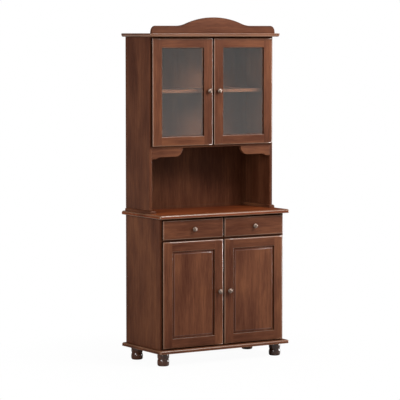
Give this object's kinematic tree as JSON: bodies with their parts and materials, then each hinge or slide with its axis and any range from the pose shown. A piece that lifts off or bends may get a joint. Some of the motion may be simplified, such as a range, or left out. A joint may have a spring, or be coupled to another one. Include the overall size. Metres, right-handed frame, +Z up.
{
  "type": "pantry cabinet",
  "caption": "Stained pine dresser: base with drawers over panelled doors, turned bun feet, open niche with scalloped brackets and a glazed upper cupboard with an arched pediment.",
  "frame": {"origin": "on the floor, at the middle of the footprint", "axes": "+Z up, -Y out of the doors towards a person in front, +X to the right as seen from the front"},
  "size_m": [0.88, 0.43, 1.97],
  "materials": {
    "stained_pine": "walnut-stained pine under satin lacquer",
    "dark_turned_wood": "dark stained turned wood under gloss lacquer",
    "light_interior_pine": "clear lacquered pine",
    "aged_brass": "antiqued, satin",
    "clear_glass": "clear float glass",
    "zinc_steel": "zinc plated"
  },
  "bodies": {
    "cabinet": {"bun_foot_front_left": "dark_turned_wood", "bun_foot_front_right": "dark_turned_wood", "bun_foot_rear_left": "dark_turned_wood", "bun_foot_rear_right": "dark_turned_wood", "foot_bolts": "zinc_steel", "base_board": "stained_pine", "lower_side_left": "stained_pine", "lower_side_right": "stained_pine", "lower_back_panel": "stained_pine", "drawer_deck": "stained_pine", "drawer_divider": "stained_pine", "drawer_runners": "light_interior_pine", "lower_shelf": "stained_pine", "lower_shelf_pins": "zinc_steel", "countertop": "stained_pine", "hutch_bearer_left": "stained_pine", "hutch_bearer_right": "stained_pine", "upper_side_left": "stained_pine", "upper_side_right": "stained_pine", "upper_back_panel": "stained_pine", "upper_floor": "stained_pine", "upper_shelf": "stained_pine", "upper_shelf_pins": "zinc_steel", "cornice_board": "stained_pine", "pediment": "stained_pine", "bracket_left": "stained_pine", "bracket_right": "stained_pine", "lower_hinge_arms": "zinc_steel", "upper_hinge_arms": "zinc_steel"},
    "drawer_left": {"drawer_front_left": "stained_pine", "drawer_box_left": "light_interior_pine", "drawer_bottom_left": "light_interior_pine", "drawer_knob_left": "aged_brass"},
    "lower_door_left": {"lower_stiles_left": "stained_pine", "lower_rails_left": "stained_pine", "lower_panel_left": "stained_pine", "lower_hinge_cups_left": "zinc_steel", "lower_knob_left": "aged_brass"},
    "upper_door_left": {"upper_stiles_left": "stained_pine", "upper_rails_left": "stained_pine", "upper_glass_left": "clear_glass", "glazing_beads_left": "stained_pine", "upper_hinge_cups_left": "zinc_steel", "upper_knob_left": "aged_brass"},
    "drawer_right": {"drawer_front_right": "stained_pine", "drawer_box_right": "light_interior_pine", "drawer_bottom_right": "light_interior_pine", "drawer_knob_right": "aged_brass"},
    "lower_door_right": {"lower_stiles_right": "stained_pine", "lower_rails_right": "stained_pine", "lower_panel_right": "stained_pine", "lower_hinge_cups_right": "zinc_steel", "lower_knob_right": "aged_brass"},
    "upper_door_right": {"upper_stiles_right": "stained_pine", "upper_rails_right": "stained_pine", "upper_glass_right": "clear_glass", "glazing_beads_right": "stained_pine", "upper_hinge_cups_right": "zinc_steel", "upper_knob_right": "aged_brass"}
  },
  "joints": [
    {"name": "drawer_left_slide", "type": "slide", "parent": "cabinet", "child": "drawer_left", "axis": [0, -1, 0], "range_m": [0, 0.29]},
    {"name": "lower_door_left_hinge", "type": "hinge", "parent": "cabinet", "child": "lower_door_left", "pos_m": [-0.404, -0.1835, 0.403], "axis": [0, 0, -1], "range_deg": [0, 100]},
    {"name": "upper_door_left_hinge", "type": "hinge", "parent": "cabinet", "child": "upper_door_left", "pos_m": [-0.404, -0.0715, 1.5455], "axis": [0, 0, -1], "range_deg": [0, 100]},
    {"name": "drawer_right_slide", "type": "slide", "parent": "cabinet", "child": "drawer_right", "axis": [0, -1, 0], "range_m": [0, 0.29]},
    {"name": "lower_door_right_hinge", "type": "hinge", "parent": "cabinet", "child": "lower_door_right", "pos_m": [0.404, -0.1835, 0.403], "axis": [0, 0, 1], "range_deg": [0, 100]},
    {"name": "upper_door_right_hinge", "type": "hinge", "parent": "cabinet", "child": "upper_door_right", "pos_m": [0.404, -0.0715, 1.5455], "axis": [0, 0, 1], "range_deg": [0, 100]}
  ]
}
